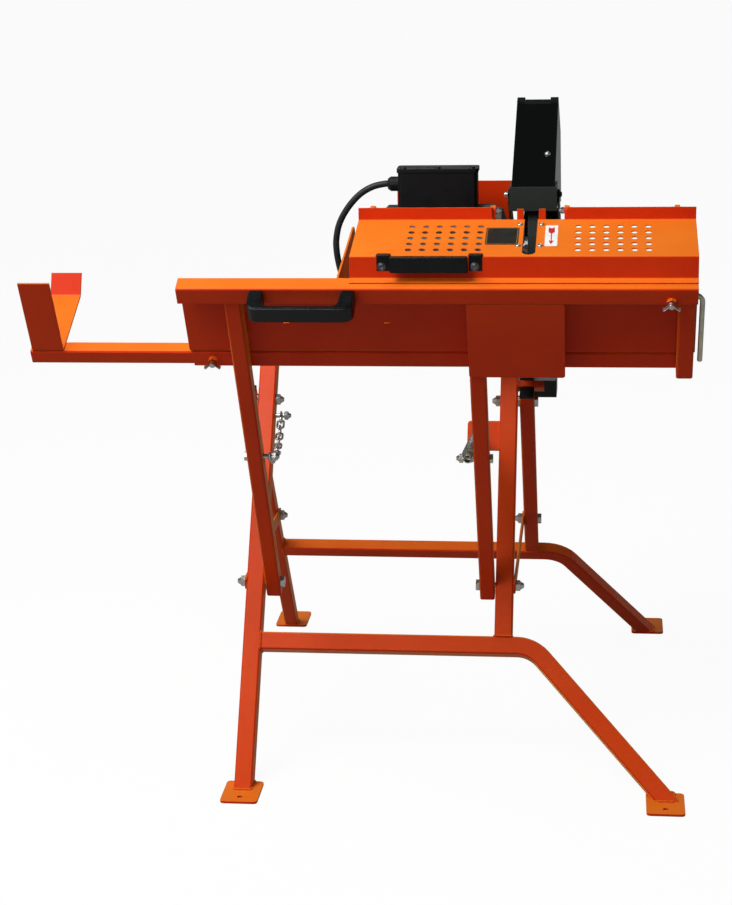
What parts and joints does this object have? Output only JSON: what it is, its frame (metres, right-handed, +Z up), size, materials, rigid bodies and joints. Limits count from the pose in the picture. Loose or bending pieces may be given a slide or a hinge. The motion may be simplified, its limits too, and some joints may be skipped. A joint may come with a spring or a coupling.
{
  "type": "firewood circular saw",
  "caption": "Rocking firewood circular saw: splayed tube stand, tilting log trough with hinged slotted cover, guarded blade and motor behind it, sliding extension and length stop",
  "frame": {"origin": "middle of the saw's box in plan, on the ground plane under the foot plates", "axes": "X runs along the trough, positive to the blade side; Y points from the operator to the rear; Z up"},
  "size_m": [1.048, 0.9591, 1.099],
  "materials": {
    "red_powder_coat": "semi-gloss powder coat",
    "black_enamel": "gloss enamel on sheet",
    "black_plastic": "moulded plastic",
    "dark_grey_plastic": "moulded plastic",
    "cast_aluminium": "painted casting",
    "zinc_plate": "zinc plated",
    "blade_steel": "ground steel",
    "spring_steel": "drawn wire",
    "green_button": "moulded plastic",
    "red_button": "moulded plastic"
  },
  "bodies": {
    "stand": {"apex_bolt_left": "zinc_plate", "apex_bolt_right": "zinc_plate", "chain_bolt": "zinc_plate", "drive_side_shield": "cast_aluminium", "fan_cover": "dark_grey_plastic", "front_left_leg": "red_powder_coat", "front_rail_leg": "red_powder_coat", "front_upright": "red_powder_coat", "lower_blade_box": "black_enamel", "motor_body": "cast_aluminium", "motor_cable": "black_plastic", "motor_crossbar": "red_powder_coat", "pivot_bolt_left": "zinc_plate", "pivot_bolt_right": "zinc_plate", "rear_left_leg": "red_powder_coat", "rear_leg_cap_left": "black_plastic", "rear_leg_cap_right": "black_plastic", "rear_rail_leg": "red_powder_coat", "rear_upright": "red_powder_coat", "spreader_bar_left": "red_powder_coat", "spreader_bar_right": "red_powder_coat", "spreader_bolt_left": "zinc_plate", "spreader_bolt_right": "zinc_plate", "stop_chain": "zinc_plate", "switch_housing": "black_plastic", "terminal_box": "black_plastic", "terminal_box_lid": "black_plastic"},
    "rotor": {"saw_blade": "blade_steel", "motor_shaft": "blade_steel", "blade_clamp_nut": "zinc_plate", "cooling_fan": "black_plastic"},
    "trough": {"left_swing_arm": "red_powder_coat", "mid_swing_arm": "red_powder_coat", "end_post": "red_powder_coat", "trough_sheet": "red_powder_coat", "left_stringer": "red_powder_coat", "right_stringer": "red_powder_coat", "left_cheek": "red_powder_coat", "right_cheek": "red_powder_coat", "pull_handle": "black_plastic", "cover_hinge_bolt_1": "zinc_plate", "cover_hinge_bolt_2": "zinc_plate", "cover_hinge_bolt_3": "zinc_plate", "cover_hinge_bolt_4": "zinc_plate", "chain_arm_bolt": "zinc_plate", "spring_arm_bolt": "zinc_plate"},
    "cover": {"cover_sheet": "red_powder_coat", "cover_handle": "black_plastic"},
    "guard": {"blade_hood": "black_enamel", "guard_nose": "black_enamel", "guard_arm_left": "black_enamel", "guard_arm_right": "black_enamel"},
    "extension": {"extension_bar": "red_powder_coat"},
    "length_stop": {"length_stop_rod": "zinc_plate"},
    "extension_screw": {"extension_wing_screw": "zinc_plate"},
    "stop_screw": {"stop_wing_screw": "zinc_plate"},
    "spring_strut": {"spring_rod": "zinc_plate", "return_spring": "spring_steel"},
    "start_button": {"start_button": "green_button"},
    "stop_button": {"stop_button": "red_button"}
  },
  "joints": [
    {"name": "blade_spin", "type": "hinge", "parent": "stand", "child": "rotor", "pos_m": [0.2632, 0.0211, 0.845], "axis": [1, 0, 0], "continuous": true},
    {"name": "trough_swing", "type": "hinge", "parent": "stand", "child": "trough", "pos_m": [0, -0.14134, 0.2951], "axis": [-1, 0, 0], "range_deg": [0, 22], "deforming": ["return_spring", "stop_chain"]},
    {"name": "guard_lift", "type": "hinge", "parent": "stand", "child": "guard", "pos_m": [0.2632, 0.0211, 0.845], "axis": [-1, 0, 0], "range_deg": [0, 55]},
    {"name": "cover_hinge", "type": "hinge", "parent": "trough", "child": "cover", "pos_m": [0.255, -0.2749, 0.958], "axis": [-1, 0, 0], "range_deg": [0, 60]},
    {"name": "strut_pivot", "type": "hinge", "parent": "trough", "child": "spring_strut", "pos_m": [0.161, -0.26989, 0.55728], "axis": [-1, 0, 0], "range_deg": [-9, 1]},
    {"name": "extension_slide", "type": "slide", "parent": "trough", "child": "extension", "axis": [-1, 0, 0], "range_m": [-0.19, 0.15]},
    {"name": "stop_slide", "type": "slide", "parent": "trough", "child": "length_stop", "axis": [1, 0, 0], "range_m": [0, 0.15]},
    {"name": "extension_screw_turn", "type": "hinge", "parent": "trough", "child": "extension_screw", "pos_m": [-0.231, -0.35113, 0.73318], "axis": [0, 0.8979, 0.4403], "continuous": true},
    {"name": "stop_screw_turn", "type": "hinge", "parent": "trough", "child": "stop_screw", "pos_m": [0.474, -0.4359, 0.84564], "axis": [0, 0.8979, 0.4403], "continuous": true},
    {"name": "start_press", "type": "slide", "parent": "stand", "child": "start_button", "axis": [0, 0.8329, -0.5534], "range_m": [0, 0.004], "stiffness_N_per_m": 300},
    {"name": "stop_press", "type": "slide", "parent": "stand", "child": "stop_button", "axis": [0, 0.8329, -0.5534], "range_m": [0, 0.004], "stiffness_N_per_m": 300}
  ],
  "couplings": [
    {"joint": "guard_lift", "follows": "trough_swing", "ratio": 2.5},
    {"joint": "strut_pivot", "follows": "trough_swing", "ratio": -0.359}
  ]
}
